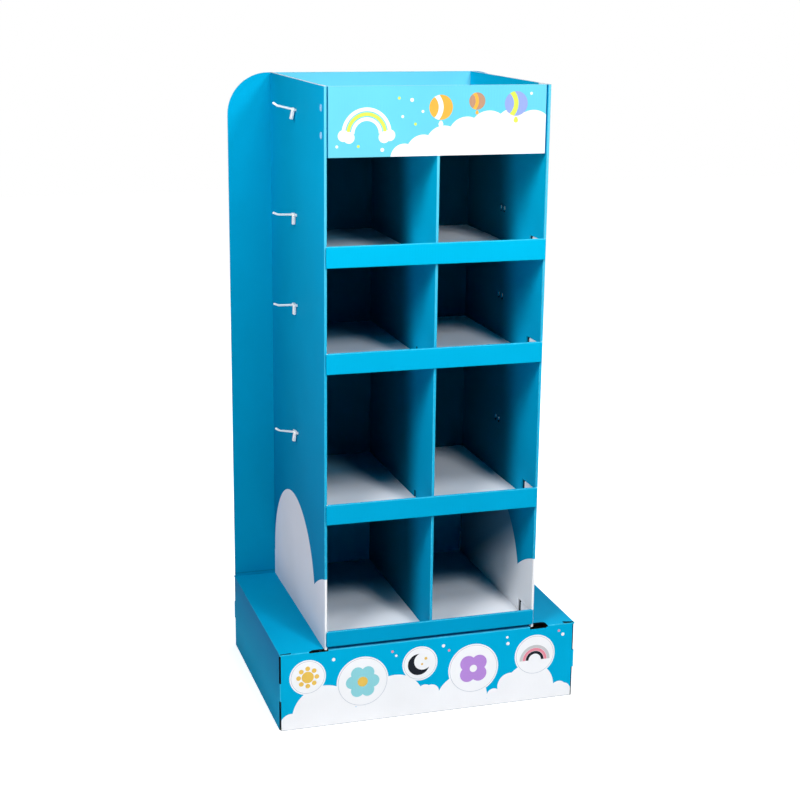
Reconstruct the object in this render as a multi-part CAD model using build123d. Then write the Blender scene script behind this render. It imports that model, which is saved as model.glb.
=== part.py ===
"""Free-standing cardboard display stand.

A tower of four divided shelves stands on a plinth, in front of a back board that is wider than the tower.
Every piece is die-cut from one kind of corrugated board, apart from the plastic hooks and snap rivets.
Millimetres, Z up, front faces -Y, origin at the middle of the footprint on the floor.
"""
import os
from math import cos, radians, sin, tan

from build123d import *

# Board and fits
board = 2.8                 # thickness of the corrugated board
fold_gap = 0.3              # air between the two layers of a doubled wall
fold_radius = 1.2           # outside radius of a scored fold
fold_facets = 3             # flats that make up the outside of a fold
oval_sides = 12             # flats that make up a round or oval cut
fit = 0.3                   # clearance where one piece passes or faces another
floor_clearance = 0.5       # a shelf floor to the wall beside it
slot_play = 0.5             # how much longer a slot is than its tab, at each end

# Tower
tower_width = 500.0
tower_depth = 504.0
foot_gap = 9.0              # bottom shelf above the plinth
row_pitches = (287.0, 339.0, 230.0, 230.0)   # underside of a shelf to the next, bottom row first
header_height = 146.0
header_recess = 3.0         # header face behind the front edges of the side walls
header_side_gap = 3.0       # header fold to the side wall
header_flap_length = 48.0
header_flap_toe = 10.0      # length over which an end flap leans out to the wall

# Shelf trays
lip_height = 46.0
bottom_lip_height = 36.0
flap_length = 66.0          # end flap of a lip, behind the front edge of the side wall
notch_length = 82.0         # notch in the inner layer that takes the end flap
flap_drop = 6.0             # top of an end flap below the top of its lip
deck_upstand = 40.0         # front flange of the top deck, behind the header
shelf_tab_length = 50.0
shelf_tab_inset = 150.0     # front or rear edge of the tower to a side tab's middle
rear_tab_spacing = 240.0

# Dividers
divider_recess = 2.0
divider_tab_length = 40.0
divider_tab_inset = 90.0    # front or rear edge of the tower to a tab's middle
divider_notch = (120.0, 10.0, 18.0)   # from the tower's front, width and height
notched_rows = (False, True, True, True)

# Back board
back_width = 705.0
back_corner_radius = 97.0
crease_height = 7.5         # scored line above the plinth
crease_width = 1.4
crease_depth = 0.5

# Plinth
base_side_margin = 1.5      # plinth beyond each end of the back board
base_width = back_width + 2 * base_side_margin
base_height = 184.5
base_ahead = 2.0            # plinth face in front of the side walls
base_behind = 4.0           # plinth behind the back board
corner_inset = 1.2          # short side edges of the front and rear walls
corner_setback = 8.0        # side walls stop short of the corner
corner_tab_bottom = 72.5
corner_tab_top = 115.5
corner_strip = 3.0          # closed strip under the top fold
tower_tab_length = 60.0
tower_tab_depth = 25.0
tower_tab_inset = 70.0      # front or rear edge of the tower to a tab's middle
fold_slot_inner = 8.0       # how far a fold slot reaches in under the tower
fold_slot_share = 0.35      # its length beside the tower, as a share of the panel there
fold_slot_left = (10.0, 1.5, 9.0)      # depth in the top panel, drop in the front wall, taper of the end
fold_slot_right = (22.0, 5.5, 5.0)
corner_slit_share = 0.24    # length of a corner slit, as a share of the panel beside the tower
corner_slit_inset = 1.5
corner_slit_left = (6.0, 4.0)          # depth at the inner end and at the corner
corner_slit_right = (12.0, 6.0)

# Plinth ribs
rib_side_inset = 25.0       # rib to the outer face of the tower's side wall
rib_end_inset = 150.0       # rib to the front or rear face of the tower

# Hooks
hook_drops = (67.0, 298.5, 504.0, 804.0)     # below the top of the tower
hook_tilts = (13.0, 2.0, 1.0, 9.0)           # how far each arm sits tipped up, degrees
hook_setback = 257.0        # behind the front edge of the side wall
hook_reach = 40.0
hook_tip_length = 11.0
hook_tip_rise = 20.0
hook_bend_radius = 9.0
hook_rod = 5.0
hook_bar = 5.6              # height and thickness of the cross bar
hook_sides = 10             # flats round the rod
hook_bend_steps = 3
hook_tip_taper = 1.5        # length over which the rod's tip narrows
hook_bar_offset = 4.2       # cross bar out from the wall
hook_prong_spacing = 22.0
hook_prong_width = 4.0
hook_leg_drop = 22.0
hook_leg_width = 10.0
hook_leg_thickness = 6.6
hook_nub = 1.2
hook_barb_rise = 3.0
hook_hole = (5.6, 10.5)     # outer layer, along Y and Z
hook_window = (12.0, 17.0)  # inner layer, along Y and Z

# Snap rivets
rivet_setback = 23.0
rivet_drops = (45.0, 101.5)
rivet_head_diameter = 15.0
rivet_head_height = 2.4
rivet_stud_diameter = 6.4
rivet_hole_diameter = 7.0
rivet_cap_height = 4.0
rivet_sides = 20
rivet_cap_bore_play = 0.1

# Worked-out places
wall = 2 * board + fold_gap
lip_stand = wall + fit                       # lip face in front of the side walls
overall_depth = lip_stand + tower_depth + board + base_behind
front = -overall_depth / 2 + lip_stand       # front edges of the side walls
rear = front + tower_depth                   # rear face of the tower shell
back_inside = rear - board                   # inner face of the tower's back
outer_x = tower_width / 2
inner_x = outer_x - wall                     # inner faces of the side walls
layer_x = outer_x - board                    # inner face of the outer layer
levels = [base_height + foot_gap]
for row_pitch in row_pitches:
    levels.append(levels[-1] + row_pitch)
deck_level = levels[-1]
top = deck_level + header_height
base_front = front - base_ahead
base_rear = rear + board + base_behind
floor_x = inner_x - floor_clearance
lip_x = layer_x - fit
lip_y = front - lip_stand
floor_rear = back_inside - floor_clearance
lip_heights = (bottom_lip_height, lip_height, lip_height, lip_height)


def block(x_range, y_range, z_range):
    """Cuboid between two values on each axis."""
    ranges = (x_range, y_range, z_range)
    size = [abs(high - low) for low, high in ranges]
    middle = [(high + low) / 2 for low, high in ranges]
    return Pos(*middle) * Box(*size)


def both_sides(shape):
    """A shape with its mirror image across the middle of the stand."""
    return shape + mirror(shape, about=Plane.YZ)


def sheet_profile(points):
    """Section of one folded sheet: its middle line given the board's thickness, with rounded folds."""
    line = [Vector(*point) for point in points]
    left, right = [], []
    for index, here in enumerate(line):
        into = here - line[index - 1] if index else line[1] - here
        out = line[index + 1] - here if index < len(line) - 1 else into
        into, out = into.normalized(), out.normalized()
        mitre = (Vector(-into.Y, into.X) + Vector(-out.Y, out.X)).normalized()
        shift = mitre * (board / 2 / mitre.dot(Vector(-into.Y, into.X)))
        turn = into.cross(out).Z
        folded = abs(turn) > sin(radians(30))
        left += rounded_fold(here + shift, mitre, into, out) if folded and turn < 0 else [here + shift]
        right += rounded_fold(here - shift, -mitre, into, out) if folded and turn > 0 else [here - shift]
    return make_face(Polyline(*left, *reversed(right), close=True))


def rounded_fold(corner, outward, into, out):
    """Points round the outside of a fold, between its two tangent points."""
    half_turn = into.get_angle(out) / 2
    centre = corner - outward * (fold_radius / cos(radians(half_turn)))
    sense = 1 if into.cross(out).Z > 0 else -1
    points = []
    for step in range(fold_facets + 1):
        angle = sense * half_turn * (2 * step / fold_facets - 1)
        points.append(centre + outward.rotate(Axis.Z, angle) * fold_radius)
    return points


def oval(width, height):
    """Upright oval, or a circle when both sizes are equal, with flat sides that keep its width."""
    radius = width / 2
    rise = (height - width) / 2
    points = []
    for side in range(oval_sides):
        angle = radians(360 * (side + 0.5) / oval_sides)
        points.append((radius * cos(angle), radius * sin(angle) + (rise if sin(angle) > 0 else -rise)))
    return make_face(Polyline(*points, close=True))


def tab_places(inset):
    """Middles of a front and a rear tab along the depth of the tower."""
    return (front + inset, rear - inset)


def make_tower_shell():
    """Back and two double-wall sides in one sheet, each side folded back inwards at its front edge."""
    inner_line = outer_x - 1.5 * board - fold_gap
    outer_line = outer_x - board / 2
    half = [(inner_line, back_inside - fit), (inner_line, front + board / 2),
            (outer_line, front + board / 2), (outer_line, rear - board / 2)]
    line = half + [(-x, y) for x, y in reversed(half)]
    shell = Pos(0, 0, base_height) * extrude(sheet_profile(line), top - base_height)
    for y in tab_places(tower_tab_inset):
        tab = block((layer_x, outer_x), (y - tower_tab_length / 2, y + tower_tab_length / 2),
                    (base_height - tower_tab_depth, base_height + board))
        shell += both_sides(tab)
    for level, height in zip(levels, lip_heights):
        notch = block((inner_x - board, layer_x), (front - board, front + notch_length),
                      (level, level + height - flap_drop + 2 * fit))
        shell -= both_sides(notch)
    for level in levels:
        shell -= shelf_slots(level)
    for drop in hook_drops:
        shell -= both_sides(hook_cuts(top - drop))
    for drop in rivet_drops:
        shell -= both_sides(rivet_hole(drop))
    return shell


def shelf_slots(level):
    """Slots in the inner layers and the back that take the tabs of one shelf."""
    height = (level - fit, level + board + fit)
    slots = []
    for y in tab_places(shelf_tab_inset):
        half = shelf_tab_length / 2 + slot_play
        slots.append(block((inner_x - board, layer_x - fold_gap / 2), (y - half, y + half), height))
    half = shelf_tab_length / 2 + slot_play
    middle = rear_tab_spacing / 2
    slots.append(block((middle - half, middle + half), (back_inside - board, rear + board), height))
    return both_sides(slots[0] + slots[1] + slots[2])


def hook_cuts(height):
    """Two prong holes through the outer layer, and the larger windows behind them."""
    cuts = []
    for side in (-1, 1):
        y = front + hook_setback + side * hook_prong_spacing / 2
        hole = Pos(layer_x + board / 2, y, height) * Box(2 * board, *hook_hole)
        window = Plane.YZ.offset(inner_x - board) * Pos(y, height) * oval(*hook_window)
        cuts += [hole, extrude(window, layer_x - inner_x + board)]
    return cuts[0] + cuts[1] + cuts[2] + cuts[3]


def rivet_hole(drop):
    """Round hole through one side wall and the header's end flap."""
    hole = Plane.YZ.offset(inner_x - 2 * wall) * Pos(front + rivet_setback, top - drop) * oval(
        rivet_hole_diameter, rivet_hole_diameter)
    return extrude(hole, 4 * wall)


def make_shelf(level, height):
    """Shelf tray: floor, front lip rolled over double, and end flaps that lie in the side walls' notches."""
    middle_z = level + board / 2
    lip_line = lip_y + board / 2
    roll_line = lip_line + board + fold_gap
    line = [(floor_rear, middle_z), (lip_line, middle_z), (lip_line, level + height - board / 2),
            (roll_line, level + height - board / 2), (roll_line, level + board + fit)]
    tray = extrude(Plane.YZ * sheet_profile(line), lip_x, both=True)
    beside = block((floor_x, lip_x + board), (lip_y + board, rear), (level - board, level + height + board))
    tray -= both_sides(beside)
    flap = block((lip_x - board, lip_x), (lip_y + board, front + flap_length),
                 (level + fit, level + height - flap_drop))
    outer_corner = chamfer_edges(flap, front + flap_length)
    tray += both_sides(outer_corner)
    tray += both_sides(floor_tabs(level))
    tray = ease_lip_ends(tray)
    return tray - divider_slots(level)


def chamfer_edges(flap, end_y):
    """Clip the two free corners of an end flap, as die-cut flaps are."""
    corners = [edge for edge in flap.edges().filter_by(Axis.X) if abs(edge.center().Y - end_y) < 0.01]
    return chamfer(corners, board)


def ease_lip_ends(tray):
    """Ease the upright folds where the lip turns into its end flaps."""
    folds = [edge for edge in tray.edges().filter_by(Axis.Z)
             if abs(edge.center().Y - lip_y) < 0.01 and abs(abs(edge.center().X) - lip_x) < 0.01]
    return chamfer(folds, fold_radius / 2) if folds else tray


def floor_tabs(level):
    """Side and rear tabs of a floor, on one side of the stand."""
    height = (level, level + board)
    tabs = []
    for y in tab_places(shelf_tab_inset):
        half = shelf_tab_length / 2
        tabs.append(block((floor_x - board, layer_x - fold_gap - fit), (y - half, y + half), height))
    half = shelf_tab_length / 2
    middle = rear_tab_spacing / 2
    tabs.append(block((middle - half, middle + half), (floor_rear - board, rear - fit), height))
    return tabs[0] + tabs[1] + tabs[2]


def divider_slots(level):
    """Slots in a floor for the two bottom tabs of its divider."""
    half_x = wall / 2 + fit
    half_y = divider_tab_length / 2 + slot_play
    slots = [block((-half_x, half_x), (y - half_y, y + half_y), (level - board, level + 2 * board))
             for y in tab_places(divider_tab_inset)]
    return slots[0] + slots[1]


def make_divider(level, next_level, notched):
    """Centre divider: one sheet folded double at its front edge, tabbed down into the floor."""
    layer_line = (board + fold_gap) / 2
    front_line = front + divider_recess + board / 2
    line = [(layer_line, floor_rear), (layer_line, front_line), (-layer_line, front_line),
            (-layer_line, floor_rear)]
    bottom = level + fit
    divider = Pos(0, 0, bottom) * extrude(sheet_profile(line), next_level - fit - bottom)
    half = divider_tab_length / 2
    front_tab, rear_tab = tab_places(divider_tab_inset)
    for gap in ((front - board, front_tab - half), (front_tab + half, rear_tab - half),
                (rear_tab + half, rear)):
        divider -= block((-wall, wall), gap, (level - board, level + board))
    if notched:
        start, width, height = divider_notch
        notch = Plane.YZ.offset(-wall) * Pos(front + start + width / 2, level + board) * oval(
            width, 2 * height)
        divider -= extrude(notch, 2 * wall)
    return divider


def make_top_deck():
    """Floor of the open top tray, with a front flange that backs the header."""
    header_back = front + header_recess + board
    line = [(floor_rear, deck_level + board / 2), (header_back + fit + board / 2, deck_level + board / 2),
            (header_back + fit + board / 2, deck_level + deck_upstand)]
    deck_x = inner_x - header_side_gap - 2 * board
    deck = extrude(Plane.YZ * sheet_profile(line), floor_x, both=True)
    beside_flaps = block((deck_x, inner_x), (front, front + header_recess + header_flap_length + board),
                         (deck_level - board, deck_level + deck_upstand + board))
    deck -= both_sides(beside_flaps)
    return deck + both_sides(floor_tabs(deck_level))


def make_header():
    """Header panel whose end flaps fold back and lean out against the side walls."""
    face_line = front + header_recess + board / 2
    fold_x = inner_x - header_side_gap - board / 2
    flap_x = inner_x - fit - board / 2
    half = [(flap_x, front + header_recess + header_flap_length),
            (flap_x, front + header_recess + header_flap_toe), (fold_x, face_line)]
    line = half + [(-x, y) for x, y in reversed(half)]
    header = Pos(0, 0, deck_level) * extrude(sheet_profile(line), header_height)
    for drop in rivet_drops:
        header -= both_sides(rivet_hole(drop))
    return header


def make_back_board():
    """Flat back board with rounded top corners and one scored line near its foot."""
    height = top - base_height
    panel = Pos(0, base_height + height / 2) * Rectangle(back_width, height)
    panel = fillet(panel.vertices().group_by(Axis.Y)[-1], back_corner_radius)
    sheet = Pos(0, rear + board, 0) * extrude(Plane.XZ * panel, board)
    crease_z = base_height + crease_height
    crease = block((outer_x, back_width), (rear - board, rear + crease_depth),
                   (crease_z - crease_width / 2, crease_z + crease_width / 2))
    return sheet - both_sides(crease)


def make_plinth():
    """Plinth: top panel with four walls folded down, open below, and tab-locked at the corners."""
    half = base_width / 2
    plinth = block((-half, half), (base_front, base_rear), (0, base_height))
    plinth = chamfer(plinth.faces().sort_by(Axis.Z)[-1].edges(), fold_radius / 2)
    plinth -= block((-half + board, half - board), (base_front + board, base_rear - board),
                    (-board, base_height - board))
    for z_range in ((-board, corner_tab_bottom), (corner_tab_top, base_height - corner_strip)):
        for wall_face, inward in ((base_front, 1), (base_rear, -1)):
            beyond = wall_face - inward * board
            short_edge = block((half - corner_inset, half + board), (beyond, wall_face + inward * board),
                               z_range)
            set_back = block((half - board, half + board), (beyond, wall_face + inward * corner_setback),
                             z_range)
            plinth -= both_sides(short_edge + set_back)
    plinth -= both_sides(tower_tab_slots())
    plinth -= corner_slit(*corner_slit_right) + fold_slot(*fold_slot_right)
    plinth -= mirror(corner_slit(*corner_slit_left) + fold_slot(*fold_slot_left), about=Plane.YZ)
    return plinth


def tower_tab_slots():
    """Slots in the top panel for the bottom tabs of one side wall."""
    half = tower_tab_length / 2 + slot_play
    slots = [block((layer_x - fit, outer_x + fit), (y - half, y + half), (base_height - 2 * board, top))
             for y in tab_places(tower_tab_inset)]
    return slots[0] + slots[1]


def corner_slit(inner_depth, outer_depth):
    """Slit along the front fold beside one front corner, deeper towards its inner end."""
    outer_end = base_width / 2 - corner_slit_inset
    inner_end = outer_end - corner_slit_share * (base_width / 2 - outer_x)
    start = base_front + fold_radius / 2
    plan = Polyline((inner_end, start), (outer_end, start), (outer_end, start + outer_depth),
                    (inner_end, start + inner_depth), close=True)
    return Pos(0, 0, base_height - 2 * board) * extrude(make_face(plan), 3 * board)


def fold_slot(depth, drop, taper):
    """Slot across the front fold beside the tower, with a pointed outer end."""
    inner = outer_x - fold_slot_inner
    outer = outer_x + fold_slot_share * (base_width / 2 - outer_x)
    plan = Polyline((inner, base_front - board), (outer, base_front - board), (outer, base_front + depth - taper),
                    (outer - taper, base_front + depth), (inner, base_front + depth), close=True)
    top_cut = Pos(0, 0, base_height - board) * extrude(make_face(plan), 2 * board)
    low = base_height - drop
    rise = drop / 2
    face = Polyline((inner, base_height + board), (outer, base_height + board), (outer, low + rise),
                    (outer - taper, low), (inner, low), close=True)
    wall_cut = Pos(0, base_front + board, 0) * extrude(Plane.XZ * make_face(face), 2 * board)
    return top_cut + wall_cut


def rib_plate(points_low, points_high, thickness_axis, slot_places, slots_open_up):
    """Upright board rib between two corners, half cut through where the crossing ribs sit."""
    plate = block(*zip(points_low, points_high))
    low, high = points_low[2], points_high[2]
    middle = (low + high) / 2
    half = board / 2 + fit
    z_range = (middle - fit, high + board) if slots_open_up else (low - board, middle + fit)
    for place in slot_places:
        across = (place - half, place + half)
        wide = (-base_width, base_width)
        ranges = (across, wide, z_range) if thickness_axis == "Y" else (wide, across, z_range)
        plate -= block(*ranges)
    return plate


def make_ribs():
    """Four half-lapped ribs inside the plinth, under the tower."""
    rib_x = outer_x - rib_side_inset
    rib_ys = tab_places(rib_end_inset)
    rib_top = base_height - board
    inside_x = base_width / 2 - board - fit
    inside_front, inside_rear = base_front + board + fit, base_rear - board - fit
    ribs = {}
    for name, x in (("base_rib_left", -rib_x), ("base_rib_right", rib_x)):
        ribs[name] = rib_plate((x - board / 2, inside_front, 0), (x + board / 2, inside_rear, rib_top),
                               "X", rib_ys, True)
    for name, y in (("base_rib_front", rib_ys[0]), ("base_rib_rear", rib_ys[1])):
        ribs[name] = rib_plate((-inside_x, y - board / 2, 0), (inside_x, y + board / 2, rib_top),
                               "Y", (-rib_x, rib_x), False)
    return ribs


def make_hook(tilt):
    """Left-hand display hook about its entry point: arm with a turned-up tip, leg, cross bar and prongs."""
    path = [(-hook_bar_offset, 0)]
    start = hook_reach - hook_bend_radius * tan(radians(hook_tip_rise / 2))
    for step in range(hook_bend_steps + 1):
        angle = radians(hook_tip_rise * step / hook_bend_steps)
        path.append((-start - hook_bend_radius * sin(angle), hook_bend_radius * (1 - cos(angle))))
    rise = radians(hook_tip_rise)
    tip = (-hook_reach - hook_tip_length * cos(rise), hook_tip_length * sin(rise))
    path.append(tip)
    section = Plane.YZ.offset(-hook_bar_offset) * RegularPolygon(hook_rod / 2, hook_sides)
    arm = sweep(section, path=Plane.XZ * Polyline(*path), transition=Transition.RIGHT)
    arm = chamfer(arm.faces().sort_by(Axis.X)[0].edges(), hook_rod / 6, hook_tip_taper)
    half_rod = hook_rod / 2
    bar_length = hook_prong_spacing + hook_prong_width
    bar = Pos(-hook_bar_offset, 0, 0) * Box(hook_bar, bar_length, hook_bar)
    half_leg = hook_leg_thickness / 2
    leg = block((-hook_bar_offset - half_leg, half_leg - hook_bar_offset),
                (-hook_leg_width / 2, hook_leg_width / 2), (-hook_leg_drop, half_rod))
    leg += block((-hook_bar_offset - half_rod, half_rod - hook_bar_offset),
                 (-hook_leg_width / 2, hook_leg_width / 2), (0, half_rod + hook_nub))
    hook = arm + bar + leg
    catch = board + fit
    for side in (-1, 1):
        y = side * hook_prong_spacing / 2
        width = (y - hook_prong_width / 2, y + hook_prong_width / 2)
        hook += block((-hook_bar_offset, wall - board / 2), width, (-half_rod, half_rod))
        hook += block((catch + fit, wall - board / 2), width, (-half_rod, half_rod + hook_barb_rise))
    return Rot(0, tilt, 0) * hook


def make_rivets():
    """Outer halves of the snap rivets and the inner caps that hold them."""
    head = rivet_head_diameter / 2
    stud = rivet_stud_diameter / 2
    grip = wall + fit + board
    head_face = RegularPolygon(head, rivet_sides)
    dome = extrude(head_face, rivet_head_height)
    dome = chamfer(dome.faces().sort_by(Axis.Z)[-1].edges(), rivet_head_height * 2 / 3, head / 2)
    stud_depth = grip + rivet_cap_height - fit
    rivet = dome + Pos(0, 0, -stud_depth) * extrude(RegularPolygon(stud, oval_sides), stud_depth)
    cap = Pos(0, 0, -grip) * extrude(head_face, -rivet_cap_height)
    cap = chamfer(cap.faces().sort_by(Axis.Z)[0].edges(), rivet_cap_height / 2, head / 3)
    bore = RegularPolygon(stud + rivet_cap_bore_play, oval_sides)
    cap -= Pos(0, 0, -grip + board) * extrude(bore, -2 * rivet_cap_height - board)
    rivets, caps = [], []
    for drop in rivet_drops:
        place = Pos(outer_x, front + rivet_setback, top - drop) * Rot(0, 90, 0)
        for half, group in ((rivet, rivets), (cap, caps)):
            placed = place * half
            group += [placed, mirror(placed, about=Plane.YZ)]
    return Compound(children=rivets), Compound(children=caps)


def make_parts():
    """Every piece of the stand by name."""
    parts = {"base_plinth": make_plinth(), "tower_shell": make_tower_shell(), "back_board": make_back_board(),
             "header_panel": make_header(), "top_deck": make_top_deck()}
    parts.update(make_ribs())
    for name, level, height in zip(("bottom", "lower", "middle", "upper"), levels, lip_heights):
        parts["shelf_" + name] = make_shelf(level, height)
    for name, level, above, notched in zip(("bottom", "lower", "middle", "top"), levels, levels[1:],
                                           notched_rows):
        parts["divider_" + name] = make_divider(level, above, notched)
    for number, (drop, tilt) in enumerate(zip(hook_drops, hook_tilts), start=1):
        hook = Pos(-outer_x, front + hook_setback, top - drop) * make_hook(tilt)
        parts["hook_left_%d" % number] = hook
        parts["hook_right_%d" % number] = mirror(hook, about=Plane.YZ)
    parts["header_rivets"], parts["rivet_caps"] = make_rivets()
    return parts


if __name__ == "__main__":
    os.makedirs("parts", exist_ok=True)
    for node, shape in make_parts().items():
        export_step(shape, "parts/%s.step" % node)
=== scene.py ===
"""Cardboard display stand: printed board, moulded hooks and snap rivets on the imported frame."""
from math import cos, pi, radians, sin, tan
from types import SimpleNamespace

import bmesh
import bpy
from bmesh.types import BMEdge, BMVert
from bpy.props import FloatProperty, FloatVectorProperty, IntProperty, PointerProperty
from bpy.types import Operator, Panel, PropertyGroup
from mathutils import Euler, Matrix, Vector


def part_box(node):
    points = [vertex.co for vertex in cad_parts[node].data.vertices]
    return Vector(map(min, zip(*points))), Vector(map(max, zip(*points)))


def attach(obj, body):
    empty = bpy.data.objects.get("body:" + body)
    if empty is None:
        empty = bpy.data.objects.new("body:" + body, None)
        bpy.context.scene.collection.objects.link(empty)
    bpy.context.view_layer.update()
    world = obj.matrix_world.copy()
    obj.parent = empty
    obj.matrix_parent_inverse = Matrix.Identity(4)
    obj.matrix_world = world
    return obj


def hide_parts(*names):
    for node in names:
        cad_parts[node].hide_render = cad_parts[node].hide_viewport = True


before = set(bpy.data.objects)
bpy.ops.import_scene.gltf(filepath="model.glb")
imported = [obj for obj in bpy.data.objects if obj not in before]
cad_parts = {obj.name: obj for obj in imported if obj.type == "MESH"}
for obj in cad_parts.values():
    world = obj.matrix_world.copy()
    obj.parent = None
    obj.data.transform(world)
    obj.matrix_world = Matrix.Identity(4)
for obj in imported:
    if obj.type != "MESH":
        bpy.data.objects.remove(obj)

bl_info = {
    "name": "Cardboard display stand",
    "version": (1, 0, 0),
    "blender": (4, 2, 0),
    "location": "3D View > Sidebar > Stand",
    "description": "Dresses a corrugated display stand in printed board, hooks and rivets",
    "category": "Object",
}


def srgb(code):
    """Linear colour of an sRGB hex value such as #00A6D8."""
    channels = [int(code[i:i + 2], 16) / 255 for i in (1, 3, 5)]
    return [c / 12.92 if c <= 0.04045 else ((c + 0.055) / 1.055) ** 2.4 for c in channels]


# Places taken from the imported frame, in metres
TOWER_LOW, TOWER_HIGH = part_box("tower_shell")
PLINTH_LOW, PLINTH_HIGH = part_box("base_plinth")
BACK_LOW, BACK_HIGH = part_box("back_board")
HEADER_LOW, HEADER_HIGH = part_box("header_panel")
DECK_LOW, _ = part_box("top_deck")
SECOND_SHELF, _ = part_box("shelf_lower")
BOARD = BACK_HIGH.y - BACK_LOW.y
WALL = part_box("divider_top")[1].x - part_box("divider_top")[0].x
FRONT = TOWER_LOW.y
INNER_X = TOWER_HIGH.x - WALL
BACK_INSIDE = TOWER_HIGH.y - BOARD
TOP = TOWER_HIGH.z
SHELVES = ("shelf_bottom", "shelf_lower", "shelf_middle", "shelf_upper")
DIVIDERS = ("divider_bottom", "divider_lower", "divider_middle", "divider_top")
RIBS = ("base_rib_left", "base_rib_right", "base_rib_front", "base_rib_rear")
# A face is on a surface of the solids if it is this near to it; the second is for printed outsides
TOUCH, SKIN = 0.001, 0.0009
# Where the dividers' notches are, and the heights of the tab at the plinth's corners
NOTCH = (FRONT + 0.119, FRONT + 0.131)
TAB = (0.0725, 0.1155)

# Heights over which one ink turns to the next one; all but the folds' turn are painted light and
# shade
LOWER_CLIMB, UPPER_CLIMB = (0.18, 0.80), (0.80, 1.20)
SIDE_CLIMB, BACK_CLIMB = (0.18, 1.25), (0.18, 0.95)
FOLD_CLIMB, PLINTH_CLIMB = (0.86, 1.36), (0.06, 0.18)
# Depth of the plinth's top over which its ink turns from the front's to the rear's: painted light
# at the front, painted shade behind
PLINTH_FADE = 0.16
# Shares of an ink: lost at the rear of the outer sides as painted shade, kept low and high on the
# back board
SIDE_REAR_SHADE, BACK_LOW_TONE, BACK_HIGH_TONE = 0.2, 0.88, 0.91
# Deep shade in the rows: slope up a wall, and where along y it starts and is full, given at z 0
PRINT_SHADE = 0.12, (FRONT + 0.0175, FRONT + 0.15)
CLOUD_SHADE = -1.6, (FRONT + 0.64, FRONT + 0.80)
FLOOR_SHADE = 0.0, (FRONT + 0.23, FRONT + 0.385)
# What is left in it of the print, of the print at the rear of the lowest row and of white board,
# and how much blue comes over the white
PRINT_TONE, LOWEST_TONE, WHITE_TONE, WHITE_BLUE = 0.32, 0.8, 0.12, 0.45
BLACK, WHITE = (0.0, 0.0, 0.0), (1.0, 1.0, 1.0)
# Cells per metre of each pattern. Flecks of rubbed ink are 7 mm, the board's swells 200 mm and flow
# marks in plastic 11 mm. Real paper fibres are too fine to show: the liner's are drawn coarser, at
# 2.4 mm, and the kraft's at 4 mm.
FLECKS, SWELLS, FIBRES, KRAFT_FIBRES, FLOW_MARKS = 140.0, 5.0, 420.0, 260.0, 90.0
# A fold is rubbed as far as the first distance, and not past the second
RUB_REACH = (0.0006, 0.0032)

# The camera that the photograph was taken with, found from the stand's straight edges
CAMERA_PLACE = (-1.0732, FRONT - 3.2098, 1.6388)
CAMERA_YAW, CAMERA_PITCH, CAMERA_ROLL = -17.19, -14.78, 0.63
CAMERA_LENS = 71.79

# Studio lamps: name, place, aim, width and height of the panel, watts
LAMPS = (
    ("left_front", (-2.2, -2.0, 2.5), (0.0, 0.0, 0.9), (0.8, 0.8), 19.0),
    ("left_near", (-1.7, -1.6, 2.9), (0.0, 0.0, 0.9), (0.8, 0.8), 28.0),
    ("left_wide", (-2.6, -1.6, 2.6), (0.0, 0.0, 0.8), (1.2, 1.2), 24.0),
    ("right_front", (0.56, -2.5, 2.42), (0.0, 0.0, 0.8), (0.4, 0.4), 38.0),
    ("front_high", (0.3, -2.5, 4.2), (0.0, 0.0, 0.9), (0.9, 0.9), 52.0),
    ("rear_right", (2.4, 2.8, 2.4), (0.0, 0.0, 0.8), (1.4, 1.4), 60.0),
)
AMBIENT = 0.004
# Half the floor's length, and its height: a little under the plinth, not in one plane with it
FLOOR_HALF, FLOOR_HEIGHT = 9.0, -0.0003
# Glow of the white floor near the stand and far from it, and the metres over which it grows
FLOOR_LIFT, FLOOR_FADE = (0.62, 1.0), (0.44, 0.95)

# Edges of plastic pieces that turn by this or more stay sharp
SHARP = radians(35.0)

# Hooks: drop below the top of the tower and upward tilt of each pair, as in the solids
HOOK_DROPS = (0.067, 0.2985, 0.504, 0.804)
HOOK_TILTS = (13.0, 2.0, 1.0, 9.0)
HOOK_SETBACK = 0.257
RIVET_DROPS = (0.045, 0.1015)
RIVET_SETBACK = 0.023

# Print: circles as (across, up, radius) in metres, across from the middle or back from the front
SIDE_CLOUD = ((0.2946, 0.256, 0.2051), (-0.0792, 0.0685, 0.2945))
SIDE_CLOUD_FLOOR = 0.2485
PLINTH_CLOUD = (
    (-0.3280, 0.0135, 0.0266), (-0.2520, 0.0255, 0.0745), (-0.1670, 0.0215, 0.0192),
    (-0.0853, 0.0355, 0.0697), (-0.0135, 0.0555, 0.0170), (0.0020, 0.0515, 0.0190),
    (0.0000, 0.0255, 0.0330), (0.0772, 0.0255, 0.0619), (0.1555, 0.0240, 0.0172),
    (0.1760, 0.0115, 0.0220), (0.1960, 0.0445, 0.0314), (0.2435, 0.0325, 0.0615),
    (0.3185, 0.0195, 0.0205), (0.3290, 0.0145, 0.0201), (0.3580, 0.0035, 0.0130),
)
PLINTH_CLOUD_FLOOR = 0.0175
MEDALLIONS = ((-0.290, 0.124, 0.042), (-0.162, 0.098, 0.061), (-0.026, 0.126, 0.042),
              (0.104, 0.098, 0.061), (0.256, 0.114, 0.050))
PLINTH_WHITE_DOTS = ((-0.230, 0.160, 0.004), (-0.083, 0.152, 0.003), (0.030, 0.163, 0.004),
                     (0.186, 0.166, 0.003), (0.188, 0.150, 0.004), (0.325, 0.158, 0.004))
PLINTH_ROSE_DOTS = ((-0.092, 0.163, 0.003), (0.044, 0.150, 0.003), (0.315, 0.168, 0.003))
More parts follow.
